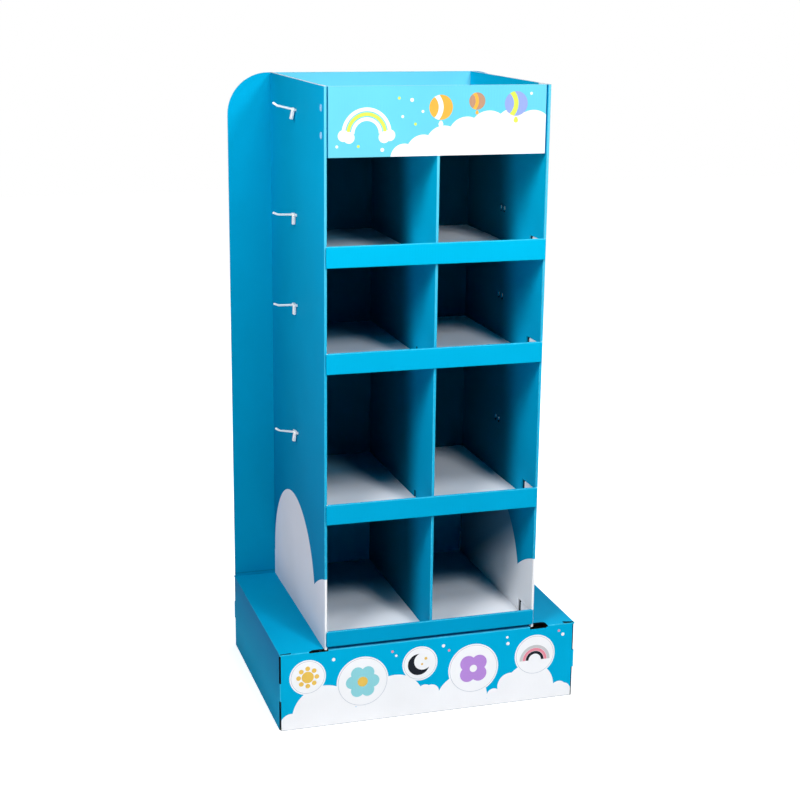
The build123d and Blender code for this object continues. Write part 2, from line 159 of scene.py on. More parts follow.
HEADER_CLOUD = (
    (-0.076, 1.276, 0.030), (-0.034, 1.286, 0.038), (0.012, 1.300, 0.042), (0.062, 1.318, 0.042),
    (0.112, 1.326, 0.046), (0.166, 1.334, 0.042), (0.212, 1.326, 0.046), (0.246, 1.318, 0.040),
    (0.080, 1.280, 0.040), (0.150, 1.290, 0.050), (0.214, 1.288, 0.030), (0.244, 1.284, 0.030),
)
# Puffs at the feet of the header's rainbow, then its white and its lime dots
HEADER_PUFFS = ((-0.208, 1.324, 0.012), (-0.196, 1.320, 0.012), (-0.120, 1.320, 0.012),
                (-0.108, 1.324, 0.012))
HEADER_WHITE_DOTS = ((-0.060, 1.396, 0.004), (-0.036, 1.372, 0.003), (-0.080, 1.362, 0.003),
                     (-0.222, 1.302, 0.003), (-0.124, 1.294, 0.004), (0.206, 1.407, 0.003))
HEADER_LIME_DOTS = ((-0.052, 1.346, 0.003), (-0.088, 1.400, 0.003), (-0.176, 1.302, 0.003))

COLOUR = {"subtype": "COLOR", "size": 3, "min": 0, "max": 1}


class STAND_PG_print(PropertyGroup):
    """Inks and papers of the printed board, with tones of them darkened or lightened as painted
    shade and light.
    """

    blue: FloatVectorProperty(
        name="Blue ink", description="Main ink of the stand", default=srgb("#00ABD9"), **COLOUR)
    # Painted shade: the blue ink darkened low on the tower and inside it
    deep: FloatVectorProperty(
        name="Blue ink in painted shade", description="The same ink low on the tower and inside it",
        default=srgb("#0099C7"), **COLOUR)
    # Painted shade: the blue ink darkened low on the tower's outer sides
    side: FloatVectorProperty(
        name="Side ink in painted shade", description="The same ink low on the tower's outer sides",
        default=srgb("#0077AB"), **COLOUR)
    # Painted light: the blue ink lightened high on the outer sides
    side_high: FloatVectorProperty(
        name="Side ink in painted light", description="The same ink high on the outer sides",
        default=srgb("#00B2E8"), **COLOUR)
    # Painted light: the blue ink lightened high on the tower
    high: FloatVectorProperty(
        name="Blue ink in painted light", description="The same ink high on the tower",
        default=srgb("#00B7E2"), **COLOUR)
    pale: FloatVectorProperty(
        name="Pale blue ink", description="Header and the fade near the top",
        default=srgb("#68C9E0"), **COLOUR)
    paper: FloatVectorProperty(
        name="White paper", description="Coated white liner where no ink is",
        default=srgb("#F5F6F9"), **COLOUR)
    # Painted shade on the white clouds of the outer sides
    cloud_shade_tint: FloatVectorProperty(
        name="Side cloud shade", description="Faint blue tint that shades the clouds on the sides",
        default=srgb("#E3E7F4"), **COLOUR)
    liner: FloatVectorProperty(
        name="Inner liner", description="Uncoated white liner of floors and flaps",
        default=srgb("#ECEEF3"), **COLOUR)
    # Painted shade on raw edges deep in slits and slots
    gap: FloatVectorProperty(
        name="Painted slit shade", description="Raw edges deep in slits and slots",
        default=srgb("#16222B"), **COLOUR)
    # Wear and a painted highlight: the lighter ink of rubbed folds
    wear_and_highlight: FloatVectorProperty(
        name="Rubbed fold with painted highlight", description="Ink where a fold has stretched and rubbed it",
        default=srgb("#4FD0F0"), **COLOUR)
    kraft: FloatVectorProperty(
        name="Kraft liner", description="Brown paper of the hidden ribs",
        default=srgb("#A98762"), **COLOUR)
    flute_pitch: FloatProperty(
        name="Flute pitch", description="Crest to crest of the corrugation",
        unit="LENGTH", min=0.001, default=0.0064)
    flute_depth: FloatProperty(
        name="Flute show-through", description="How far the liner dips between crests",
        unit="LENGTH", min=0, default=0.00004)
    fold_wear_and_highlight: FloatProperty(
        name="Fold wear and highlight", description="How much of each fold has lost its ink",
        subtype="FACTOR", min=0, max=1, default=0.65)


class STAND_PG_fittings(PropertyGroup):
    """Sizes and colours of the plastic hooks and rivets."""

    white: FloatVectorProperty(
        name="Plastic", description="Colour of the hooks", default=srgb("#FFFFFF"), **COLOUR)
    rivet: FloatVectorProperty(
        name="Rivet plastic", description="Bluish rivets", default=srgb("#8CC9EE"), **COLOUR)
    rod: FloatProperty(
        name="Hook rod", description="Diameter of a hook's arm", unit="LENGTH", default=0.005)
    reach: FloatProperty(
        name="Hook reach", description="Side wall to the bend", unit="LENGTH", default=0.040)
    tip: FloatProperty(
        name="Hook tip", description="Length beyond the bend", unit="LENGTH", default=0.011)
    rise: FloatProperty(
        name="Tip rise", description="Turn of the tip, in degrees", default=20.0)
    bend: FloatProperty(
        name="Bend radius", description="Radius of the bend", unit="LENGTH", default=0.009)
    bar_offset: FloatProperty(
        name="Cross bar", description="Side wall to the cross bar's middle",
        unit="LENGTH", default=0.0042)
    prong_spacing: FloatProperty(
        name="Prong spacing", description="Between the two prongs", unit="LENGTH", default=0.022)
    leg: FloatProperty(
        name="Leg", description="Length of the leg below the arm", unit="LENGTH", default=0.022)
    head: FloatProperty(
        name="Rivet head", description="Diameter of a rivet's head", unit="LENGTH", default=0.015)
    sides: IntProperty(
        name="Sides", description="Flats round a rod or head", min=8, default=24)


def add(tree, kind, *inputs, output=0, **settings):
    """Add one shader node with its settings, feed it in order or by key, return one output."""
    node = tree.nodes.new("ShaderNode" + kind)
    for key, value in settings.items():
        setattr(node, key, value)
    keyed = inputs and isinstance(inputs[0], dict)
    for key, value in inputs[0].items() if keyed else enumerate(inputs):
        if isinstance(value, bpy.types.NodeSocket):
            tree.links.new(value, node.inputs[key])
        elif value is not None:
            node.inputs[key].default_value = value
    return node.outputs[output] if node.outputs else None


def rgba(colour):
    """A colour for a node's socket: a link as it is, a plain colour with full alpha."""
    return colour if isinstance(colour, bpy.types.NodeSocket) else (*colour[:3], 1.0)


def dim(colour, share):
    """A share of a plain colour."""
    return [c * share for c in colour]


def all_of(tree, *tests, join="MULTIPLY"):
    """Mask where all tests hold. A test is a mask or a comparison as (value, sign, limit)."""
    mask = None
    for test in tests:
        if isinstance(test, tuple):
            value, sign, limit = test
            sense = {"<": "LESS_THAN", ">": "GREATER_THAN"}[sign]
            test = add(tree, "Math", value, limit, operation=sense)
        mask = test if mask is None else add(tree, "Math", mask, test, operation=join)
    return mask


def any_of(tree, *tests):
    """Mask where at least one test holds."""
    return all_of(tree, *tests, join="MAXIMUM")


def paint(tree, colour, *coats):
    """A colour under coats of ink, each a test of where it is and the ink."""
    for where, ink in coats:
        sockets = {0: all_of(tree, where), 6: rgba(colour), 7: rgba(ink)}
        colour = add(tree, "Mix", sockets, output=2, data_type="RGBA")
    return colour


def new_material(name):
    """Empty node material with its places: coordinates and normal in the stand's own frame."""
    material = bpy.data.materials.new(name)
    material.use_nodes = True
    tree = material.node_tree
    tree.nodes.clear()
    place = add(tree, "TexCoord", output="Object")
    normal = add(tree, "TexCoord", output="Normal")
    x, y, z = add(tree, "SeparateXYZ", place).node.outputs
    nx, ny, nz = add(tree, "SeparateXYZ", normal).node.outputs
    at = SimpleNamespace(place=place, x=x, y=y, z=z, nx=nx, ny=ny, nz=nz)
    at.far_x = add(tree, "Math", x, operation="ABSOLUTE")
    at.side_facing, at.end_facing, at.level_facing = (
        all_of(tree, (add(tree, "Math", n, operation="ABSOLUTE"), ">", 0.5)) for n in (nx, ny, nz))
    at.front_facing = all_of(tree, (ny, "<", -0.5))
    at.front_plane = add(tree, "CombineXYZ", x, None, z)
    at.side_plane = add(tree, "CombineXYZ", None, y, z)
    return material, tree, at


def circles(tree, plane, rounds, side=False):
    """Distance to the outline of overlapping circles on a print plane, negative inside them."""
    field = None
    for across, up, radius in rounds:
        centre = (0.0, FRONT + across, up) if side else (across, 0.0, up)
        reach = add(tree, "VectorMath", plane, centre, output="Value", operation="DISTANCE")
        edge = add(tree, "Math", reach, radius, operation="SUBTRACT")
        field = edge if field is None else add(tree, "Math", field, edge, operation="MINIMUM")
    return field


def fold_rub_and_highlight(tree, at, folds, amount):
    """Mask of worn flecks along folds, which also stand for a painted highlight; each fold is a
    point in a plane that cuts across it.
    """
    field = None
    for plane, point in folds:
        reach = add(tree, "VectorMath", plane, point, output="Value", operation="DISTANCE")
        field = reach if field is None else add(tree, "Math", field, reach, operation="MINIMUM")
    near = add(tree, "MapRange", field, *RUB_REACH, 1.0, 0.0, interpolation_type="SMOOTHSTEP")
    flecks = add(tree, "TexNoise",
                 {"Vector": at.place, "Scale": FLECKS, "Detail": 3.0, "Roughness": 0.65})
    wear_and_highlight = add(tree, "MapRange", flecks, 0.46, 0.66, 0.55, 1.0)
    return all_of(tree, near, wear_and_highlight, amount)


def flute_wave(tree, run, inks):
    """Sine along a run across the flutes, one turn for each."""
    turn = add(tree, "Math", run, 2 * pi / inks.flute_pitch, operation="MULTIPLY")
    return add(tree, "Math", turn, operation="SINE")


def depth_into(tree, place, face):
    """How deep in a sheet a place is, from 0 at a face to 1 at the other."""
    depth = add(tree, "Math", place, face, operation="SUBTRACT")
    return add(tree, "Math", depth, BOARD, operation="DIVIDE")


def fluted_edge(tree, run, depth, inks):
    """Cut edge across the flutes: two liners with the waved paper and its hollows between, the
    hollows darkened as painted shade.
    """
    swing, half_paper, liner_start = 0.34, 0.09, 0.36
    wave = add(tree, "Math", flute_wave(tree, run, inks), swing, operation="MULTIPLY")
    middle = add(tree, "Math", depth, 0.5, operation="SUBTRACT")
    off_wave = add(tree, "Math", middle, wave, operation="SUBTRACT")
    off_wave = add(tree, "Math", off_wave, operation="ABSOLUTE")
    off_middle = add(tree, "Math", middle, operation="ABSOLUTE")
    paper = any_of(tree, (off_wave, "<", half_paper), (off_middle, ">", liner_start))
    return paint(tree, dim(inks.liner, 0.8), (paper, inks.liner))


def finish_board(tree, at, colour, bare, inks):
    """Surface of corrugated board: flutes that show as faint ribs, paper fibre, a dull varnish.

    Print is smoother under its varnish than the liner is where it is bare.
    """
    fibre_lift, swell_lift = 0.00003, 0.0025
    varnished, uncoated = 0.62, 0.88
    run = add(tree, "Mix", {0: at.side_facing, 2: at.x, 3: at.y}, data_type="FLOAT")
    ribs = add(tree, "Math", flute_wave(tree, run, inks), inks.flute_depth, operation="MULTIPLY")
    fibre = add(tree, "TexNoise",
                {"Vector": at.place, "Scale": FIBRES, "Detail": 4.0, "Roughness": 0.6})
    fibre_height = add(tree, "Math", fibre, fibre_lift, operation="MULTIPLY")
    swell = add(tree, "TexNoise",
                {"Vector": at.place, "Scale": SWELLS, "Detail": 2.0, "Roughness": 0.5})
    swell_height = add(tree, "Math", swell, swell_lift, operation="MULTIPLY")
    height = add(tree, "Math", add(tree, "Math", ribs, fibre_height), swell_height)
    bump = add(tree, "Bump", {"Strength": 0.8, "Distance": 1.0, "Height": height})
    shade = add(tree, "MapRange", swell, 0.3, 0.7, 0.965, 1.03)
    tint = add(tree, "HueSaturation", {"Value": shade, "Color": rgba(colour)})
    gloss = add(tree, "MapRange", all_of(tree, bare), 0.0, 1.0, varnished, uncoated)
    roughness = add(tree, "Math", gloss, add(tree, "MapRange", fibre, 0.3, 0.7, -0.05, 0.05))
    shader = add(tree, "BsdfPrincipled", {
        "Base Color": tint, "Roughness": roughness, "IOR": 1.5, "Specular IOR Level": 0.015,
        "Normal": bump})
    add(tree, "OutputMaterial", shader)


def dress(nodes, material):
    """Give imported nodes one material."""
    for name in nodes:
        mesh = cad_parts[name].data
        mesh.materials.clear()
        mesh.materials.append(material)


def blue_print_and_painted_light(tree, at, inks):
    """The stand's blue ink, made lighter with height as painted light."""
    lower = add(tree, "MapRange", at.z, *LOWER_CLIMB)
    upper = add(tree, "MapRange", at.z, *UPPER_CLIMB)
    return paint(tree, inks.deep, (lower, inks.blue), (upper, inks.high))


def fold_print(tree, at, inks, colour):
    """Folded front edges, which fade to the pale ink near the top."""
    climb = add(tree, "MapRange", at.z, *FOLD_CLIMB)
    return paint(tree, colour, (all_of(tree, climb, at.front_facing), inks.pale))


def deep_shade(tree, at, colour, shade, tone, dark=BLACK):
    """A colour that darkens toward the rear of a row, where the photo shows deep shade."""
    slope, span = shade
    rise = add(tree, "Math", at.z, slope, operation="MULTIPLY")
    place = add(tree, "Math", at.y, rise, operation="SUBTRACT")
    depth = add(tree, "MapRange", place, *span, 0.0, 1.0 - tone, interpolation_type="SMOOTHSTEP")
    return paint(tree, colour, (depth, dark))


def white_shade(tree, at, colour, shade, inks):
    """White board in deep shade, tinted by the blue walls around it."""
    return deep_shade(tree, at, colour, shade, WHITE_TONE, dim(inks.blue, WHITE_BLUE))


class STAND_OT_tower(Operator):
    """Print the tower shell: blue inside and out, with a white cloud low on each side"""

    bl_idname = "stand.tower"
    bl_label = "Tower"

    def execute(self, context):
        inks = context.scene.stand_print
        # Corrugated board, offset-printed and varnished: dull sheen, faint ribs, pale cut edges
        material, tree, at = new_material("varnished_corrugated_tower")
        rows = all_of(tree, (at.z, "<", DECK_LOW.z))
        inner_face, outer_face = INNER_X + 0.0004, TOWER_HIGH.x - 0.0012
        inside = all_of(tree, rows, at.side_facing, (at.far_x, "<", inner_face))
        outside = all_of(tree, at.side_facing, (at.far_x, ">", TOWER_HIGH.x - SKIN))
        rear_inside = all_of(tree, rows, at.end_facing, (at.ny, "<", 0.0),
                             (at.y, ">", BACK_INSIDE - TOUCH))
        # Blue print with painted light and shade: lighter with height, darker toward the rear
        # outside and in deep shade inside the rows
        climb = add(tree, "MapRange", at.z, *SIDE_CLIMB)
        rear_shade = add(tree, "MapRange", at.y, FRONT, TOWER_HIGH.y, 0.0, SIDE_REAR_SHADE)
        shaded_side_ink = paint(tree, inks.side, (climb, inks.side_high), (rear_shade, BLACK))
        colour = paint(tree, blue_print_and_painted_light(tree, at, inks), (outside, shaded_side_ink))
        colour = fold_print(tree, at, inks, colour)
        # Painted shade: the rear wall inside the rows is darkened, less so in the lowest row
        rear_shade_ink = paint(tree, dim(inks.blue, PRINT_TONE),
                         ((at.z, "<", SECOND_SHELF.z), dim(inks.blue, LOWEST_TONE)))
        colour = paint(tree, colour, (rear_inside, rear_shade_ink))
        shaded = deep_shade(tree, at, colour, PRINT_SHADE, PRINT_TONE)
        flat = add(tree, "CombineXYZ", at.far_x, at.y, None)
        folds = [(flat, (x, FRONT, 0.0)) for x in (INNER_X, TOWER_HIGH.x)]
        rub_and_highlight = fold_rub_and_highlight(tree, at, folds, inks.fold_wear_and_highlight)
        colour = paint(tree, colour, (inside, shaded), (rub_and_highlight, inks.wear_and_highlight))
        # White clouds on both faces of the sides and on their front edges, in painted shade outside
        # and in deep shade inside
        cloud = circles(tree, at.side_plane, SIDE_CLOUD, side=True)
        cloud = any_of(tree, (cloud, "<", 0.0), (at.z, "<", SIDE_CLOUD_FLOOR))
        front_edge = all_of(tree, at.front_facing, (at.far_x, ">", INNER_X - TOUCH))
        upright = any_of(tree, at.side_facing, front_edge)
        white = paint(tree, inks.paper, (outside, inks.cloud_shade_tint),
                      (inside, white_shade(tree, at, inks.paper, CLOUD_SHADE, inks)))
        colour = paint(tree, colour, (all_of(tree, cloud, upright), white))
        # Cut edges: fluted at the top and bottom, with painted shade in slots and between the two
        # layers
        side_step = add(tree, "Math", at.far_x, INNER_X, operation="SUBTRACT")
        in_layer = add(tree, "Math", side_step, WALL - BOARD, operation="MODULO")
        side_depth = add(tree, "Math", in_layer, BOARD, operation="DIVIDE")
        back_depth = depth_into(tree, at.y, BACK_INSIDE)
        on_side = all_of(tree, (at.far_x, ">", INNER_X - 0.0002))
        run = add(tree, "Mix", {0: on_side, 2: at.x, 3: at.y}, data_type="FLOAT")
        depth = add(tree, "Mix", {0: on_side, 2: back_depth, 3: side_depth}, data_type="FLOAT")
        ends = any_of(tree, (at.z, ">", TOP - TOUCH), (at.z, "<", TOWER_LOW.z + TOUCH))
        edge = paint(tree, inks.gap, (ends, fluted_edge(tree, run, depth, inks)))
        between = all_of(tree, at.side_facing, (at.far_x, ">", inner_face),
                         (at.far_x, "<", outer_face))
        colour = paint(tree, colour, (at.level_facing, edge), (between, inks.gap))
        finish_board(tree, at, colour, any_of(tree, at.level_facing, between), inks)
        dress(["tower_shell"], material)
        return {"FINISHED"}


class STAND_OT_back_board(Operator):
    """Print the back board blue in front and leave its rear bare"""

    bl_idname = "stand.back_board"
    bl_label = "Back board"

    def execute(self, context):
        inks = context.scene.stand_print
        # Corrugated board printed on one side; the rear is uncoated white liner
        material, tree, at = new_material("varnished_corrugated_back")
        climb = add(tree, "MapRange", at.z, *BACK_CLIMB)
        rear = all_of(tree, (at.ny, ">", 0.5))
        cut = all_of(tree, (at.end_facing, "<", 0.5))
        edge = fluted_edge(tree, at.x, depth_into(tree, at.y, BACK_LOW.y), inks)
        # Painted shade: a dark line just above the plinth's top
        shade_line_rise, shade_line_half, shade_line_tone = 0.0075, 0.0012, 0.55
        shade_line = add(tree, "Math", at.z, PLINTH_HIGH.z + shade_line_rise, operation="SUBTRACT")
        shade_line = add(tree, "Math", shade_line, operation="ABSOLUTE")
        shade_line = all_of(tree, (shade_line, "<", shade_line_half), (at.ny, "<", 0.5))
        # Painted light: the ink lightens from its low tone to its high one with height
        colour = paint(tree, dim(inks.deep, BACK_LOW_TONE),
                       (climb, dim(inks.blue, BACK_HIGH_TONE)), (rear, inks.liner), (cut, edge),
                       (shade_line, dim(inks.blue, shade_line_tone)))
        finish_board(tree, at, colour, any_of(tree, rear, cut), inks)
        dress(["back_board"], material)
        return {"FINISHED"}


def dots(tree, at, colour, rounds, tone):
    """Plain discs of one tone."""
    return paint(tree, colour, ((circles(tree, at.front_plane, rounds), "<", 0.0), tone))


def rainbow(tree, at, colour, centre, radii, width, tones):
    """Half rings over a level line, largest first."""
    for radius, tone in zip(radii, tones):
        ring = circles(tree, at.front_plane, [(*centre, radius)])
        ring = add(tree, "Math", ring, operation="ABSOLUTE")
        arch = all_of(tree, (at.z, ">", centre[1]), (ring, "<", width / 2))
        colour = paint(tree, colour, (arch, tone))
    return colour


def balloon(tree, at, colour, centre, radius, tone, band):
    """Hot-air balloon: a disc with a lighter band and a small basket below."""
    x, z = centre
    disc = all_of(tree, (circles(tree, at.front_plane, [(x, z, radius)]), "<", 0.0))
    stripe = circles(tree, at.front_plane, [(x - radius * 1.3, z, radius * 1.3)])
    stripe = add(tree, "Math", stripe, operation="ABSOLUTE")
    stripe = all_of(tree, disc, (stripe, "<", radius * 0.2))
    colour = paint(tree, colour, (disc, tone), (stripe, band))
    basket = [(x, z - radius * 1.35, radius * 0.2), (x, z - radius * 1.2, radius * 0.14)]
    return dots(tree, at, colour, basket, band)


class STAND_OT_header(Operator):
    """Print the header pale blue with clouds and simple shapes"""

    bl_idname = "stand.header"
    bl_label = "Header"

    def execute(self, context):
        inks = context.scene.stand_print
        white, lime, amber = inks.paper, srgb("#D6EA5A"), srgb("#EDB04A")
        lilac, tan_brown = srgb("#93A4E6"), srgb("#B98F74")
        # Corrugated board printed in pale blue and varnished, cut along its top and bottom edges
        material, tree, at = new_material("varnished_corrugated_header")
        colour = dots(tree, at, inks.pale, HEADER_CLOUD, white)
        colour = rainbow(tree, at, colour, (-0.158, 1.328), (0.050, 0.040, 0.030), 0.0075,
                         (white, lime, white))
        colour = dots(tree, at, colour, HEADER_PUFFS + HEADER_WHITE_DOTS, white)
        colour = dots(tree, at, colour, HEADER_LIME_DOTS, lime)
        for centre, radius, tone, band in (((0.004, 1.380), 0.026, amber, white),
                                           ((0.172, 1.386), 0.026, lilac, lime),
                                           ((0.084, 1.392), 0.018, tan_brown, amber)):
            colour = balloon(tree, at, colour, centre, radius, tone, band)
        front = all_of(tree, at.front_facing, (at.y, "<", HEADER_LOW.y + TOUCH))
        outward = add(tree, "Math", at.x, at.nx, operation="MULTIPLY")
        flap_start = HEADER_HIGH.x - 0.006
        flap = all_of(tree, (at.far_x, ">", flap_start), (outward, ">", 0.0))
        edge = fluted_edge(tree, at.x, depth_into(tree, at.y, HEADER_LOW.y), inks)
        colour = paint(tree, inks.liner, (flap, inks.blue), (front, colour),
                       (at.level_facing, edge))
        finish_board(tree, at, colour, (any_of(tree, front, flap), "<", 0.5), inks)
        dress(["header_panel"], material)
        return {"FINISHED"}


class STAND_OT_shelves(Operator):
    """Print the shelf trays: blue lips, bare white floors and end flaps"""

    bl_idname = "stand.shelves"
    bl_label = "Shelf trays"

    def execute(self, context):
        inks = context.scene.stand_print
        for name in SHELVES:
            low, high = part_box(name)
            # Corrugated board printed on the side that folds outwards; floors are uncoated liner
            material, tree, at = new_material("varnished_corrugated_" + name)
            inner = all_of(tree, (at.far_x, "<", high.x - BOARD), (at.y, "<", FRONT + TOUCH))
            lip_back = low.y + WALL + 0.0006
            lip = all_of(tree, (at.y, "<", lip_back),
                         any_of(tree, inner, at.side_facing, at.front_facing))
            printed = any_of(tree, lip, (at.nz, "<", -0.5))
            # The left-hand floors and both of the lowest ones are in deep shade at the rear
            shaded = (at.x, "<", high.x if name == SHELVES[0] else 0.0)
            floor = white_shade(tree, at, inks.liner, FLOOR_SHADE, inks)
            folds = [(at.side_plane, (0.0, y, high.z)) for y in (low.y, low.y + WALL)]
            rub_and_highlight = all_of(tree, fold_rub_and_highlight(tree, at, folds, inks.fold_wear_and_highlight), printed)
            colour = paint(tree, inks.liner, (shaded, floor), (printed, blue_print_and_painted_light(tree, at, inks)),
                           (rub_and_highlight, inks.wear_and_highlight))
            finish_board(tree, at, colour, (printed, "<", 0.5), inks)
            dress([name], material)
        return {"FINISHED"}


class STAND_OT_dividers(Operator):
    """Print the dividers blue on both sides, and leave the deck and the ribs plain"""

    bl_idname = "stand.dividers"
    bl_label = "Dividers and deck"

    def execute(self, context):
        inks = context.scene.stand_print
        # One printed sheet folded double at the front; its front fold is rubbed pale and carries a
        # painted highlight
        material, tree, at = new_material("varnished_corrugated_divider")
        colour = fold_print(tree, at, inks, blue_print_and_painted_light(tree, at, inks))
        shaded = deep_shade(tree, at, colour, PRINT_SHADE, PRINT_TONE)
        flat = add(tree, "CombineXYZ", at.far_x, at.y, None)
        fold = (WALL / 2, FRONT + 0.002, 0.0)
        rub_and_highlight = fold_rub_and_highlight(tree, at, [(flat, fold)], inks.fold_wear_and_highlight)
        # Painted shade on the edges of the dividers' notch
        cut = all_of(tree, (at.y, ">", NOTCH[0]), (at.y, "<", NOTCH[1]), (at.side_facing, "<", 0.5))
        colour = paint(tree, colour, (at.side_facing, shaded), (rub_and_highlight, inks.wear_and_highlight),
                       (at.level_facing, inks.liner), (cut, inks.gap))
        finish_board(tree, at, colour, at.level_facing, inks)
        dress(DIVIDERS, material)
        # The tray's floor is the uncoated side of its sheet
        material, tree, at = new_material("uncoated_white_liner")
        finish_board(tree, at, inks.liner, at.level_facing, inks)
        dress(["top_deck"], material)
        # Brown kraft liner: long fibres, no print, no varnish
        material, tree, at = new_material("kraft_liner")
        fibres = add(tree, "TexNoise",
                     {"Vector": at.place, "Scale": KRAFT_FIBRES, "Detail": 6.0, "Roughness": 0.7})
        mottle = add(tree, "MapRange", fibres, 0.35, 0.65, 0.0, 0.35)
        colour = paint(tree, inks.kraft, (mottle, dim(inks.kraft, 0.72)))
        finish_board(tree, at, colour, at.level_facing, inks)
        dress(RIBS, material)
        return {"FINISHED"}


def medallion(tree, at, colour, centre, radius, inks):
    """White disc with a thin grey line just inside its rim."""
    inset, half_line = 0.0035, 0.0006
    field = circles(tree, at.front_plane, [(*centre, radius)])
    line = add(tree, "Math", add(tree, "Math", field, inset, operation="ADD"), operation="ABSOLUTE")
    return paint(tree, colour, ((field, "<", 0.0), inks.paper),
                 ((line, "<", half_line), srgb("#C6CCD6")))


def petals(centre, count, spread, radius, start=0.0):
    """Circles set round a centre."""
    x, z = centre
    turns = [start + 2 * pi * k / count for k in range(count)]
    return [(x + spread * cos(t), z + spread * sin(t), radius) for t in turns]


class STAND_OT_plinth(Operator):
    """Print the plinth blue with a cloud bank and five medallions"""

    bl_idname = "stand.plinth"
    bl_label = "Plinth"

    def execute(self, context):
        inks = context.scene.stand_print
        teal, violet, ink_black = srgb("#8FD3DC"), srgb("#B98CDB"), srgb("#23262E")
        grey, rose, gold = srgb("#C9C9CC"), srgb("#E88FA0"), srgb("#EBC25A")
        # Corrugated board printed outside, with rubbed folds that also carry a painted highlight;
        # white liner inside
        material, tree, at = new_material("varnished_corrugated_plinth")
        colour = dots(tree, at, inks.blue, PLINTH_CLOUD, inks.paper)
        colour = paint(tree, colour, ((at.z, "<", PLINTH_CLOUD_FLOOR), inks.paper))
        for x, z, radius in MEDALLIONS:
            colour = medallion(tree, at, colour, (x, z), radius, inks)
        # Sun, flower, moon with two stars, four-petalled flower and rainbow, then loose dots
        sun, flower, clover = (-0.290, 0.124), (-0.162, 0.098), (0.104, 0.098)
        for rounds, tone in (
                ([*petals(sun, 8, 0.021, 0.0055), (*sun, 0.014)], gold),
                (petals(flower, 6, 0.024, 0.0155), teal),
                ([(*flower, 0.012)], gold),
                ([(-0.029, 0.124, 0.026)], ink_black),
                ([(-0.019, 0.131, 0.021)], inks.paper),
                ([(-0.012, 0.137, 0.0035), (-0.021, 0.124, 0.0025)], gold),
                (petals(clover, 4, 0.019, 0.019, pi / 4), violet),
                ([(*clover, 0.009), *PLINTH_WHITE_DOTS], inks.paper),
                (PLINTH_ROSE_DOTS, rose)):
            colour = dots(tree, at, colour, rounds, tone)
        colour = rainbow(tree, at, colour, (0.256, 0.101), (0.034, 0.0265, 0.019), 0.007,
                         (grey, rose, ink_black))
        # Painted shadow: the lowest edge is darkened where it stands on the floor. Painted shade
        # marks the right-hand end of the front wall above and below the corner's tab.
        contact_shade, end_shade_width, under_fold = 0.0016, 0.0052, 0.003
        tab = all_of(tree, (at.z, ">", TAB[0]), (at.z, "<", TAB[1]))
        end = all_of(tree, (at.x, ">", PLINTH_HIGH.x - end_shade_width),
                     (at.z, "<", PLINTH_HIGH.z - under_fold), (tab, "<", 0.5))
        colour = paint(tree, colour, ((at.z, "<", contact_shade), srgb("#B9BEC6")), (end, inks.gap))
        # The printed outsides: both sides, front and rear, and the top panel
        middle = (PLINTH_LOW.y + PLINTH_HIGH.y) / 2
        half_depth = PLINTH_HIGH.y - middle
        far_y = add(tree, "Math", at.y, middle, operation="SUBTRACT")
        far_y = add(tree, "Math", far_y, operation="ABSOLUTE")
        sides = all_of(tree, at.side_facing, (at.far_x, ">", PLINTH_HIGH.x - SKIN))
        front_rear = all_of(tree, at.end_facing, (far_y, ">", half_depth - SKIN))
        top = all_of(tree, at.level_facing, (at.z, ">", PLINTH_HIGH.z - SKIN))
        face = all_of(tree, at.front_facing, (at.y, "<", PLINTH_LOW.y + SKIN))
        outside = any_of(tree, sides, front_rear, top)
        # Painted light and shade: the sides' ink darkens with height, and the top's ink is lighter
        # toward the front
        rise = add(tree, "MapRange", at.z, *PLINTH_CLIMB)
        shaded_side_ink = paint(tree, inks.deep, (rise, inks.side))
        ahead = add(tree, "MapRange", at.y, PLINTH_LOW.y, PLINTH_LOW.y + PLINTH_FADE, 1.0, 0.0)
        # Painted light: where the tower stands over the front of the top panel, the strip in the
        # lip's shade is lightened
        lip_reach = FRONT + 0.004
        lit_under_lip = all_of(tree, top, (at.y, "<", lip_reach), (at.far_x, "<", INNER_X))
        skin = paint(tree, inks.deep, (ahead, inks.blue), (sides, shaded_side_ink),
                     (lit_under_lip, inks.wear_and_highlight), (face, colour))
        # Painted shade on the raw edges in the corners' slits and in the slots near the front of
        # the top panel
        cut, slots_end = 0.012, PLINTH_LOW.y + 0.026
        slits = all_of(tree, (far_y, ">", half_depth - cut), (at.far_x, ">", PLINTH_HIGH.x - cut))
        slots = all_of(tree, (at.y, "<", slots_end), (at.z, ">", PLINTH_HIGH.z - cut))
        # The folds over the sides carry less wear and painted highlight than the others
        side_share = 0.3
        wide = add(tree, "CombineXYZ", at.far_x, None, at.z)
        corner = add(tree, "CombineXYZ", at.far_x, far_y, None)
        folds = [(at.side_plane, (0.0, PLINTH_LOW.y, PLINTH_HIGH.z)),
                 (corner, (PLINTH_HIGH.x, half_depth, 0.0))]
        side_folds = [(wide, (PLINTH_HIGH.x, 0.0, PLINTH_HIGH.z))]
        rub_and_highlight = any_of(tree, fold_rub_and_highlight(tree, at, folds, inks.fold_wear_and_highlight),
                     fold_rub_and_highlight(tree, at, side_folds, inks.fold_wear_and_highlight * side_share))
        bottom = all_of(tree, at.level_facing, (at.z, "<", 0.0005))
        edge = fluted_edge(tree, at.y, depth_into(tree, PLINTH_HIGH.x, at.far_x), inks)
        colour = paint(tree, inks.liner, (any_of(tree, slits, slots), inks.gap), (outside, skin),
                       (all_of(tree, rub_and_highlight, outside), inks.wear_and_highlight), (bottom, edge))
        finish_board(tree, at, colour, (outside, "<", 0.5), inks)
        dress(["base_plinth"], material)
        return {"FINISHED"}


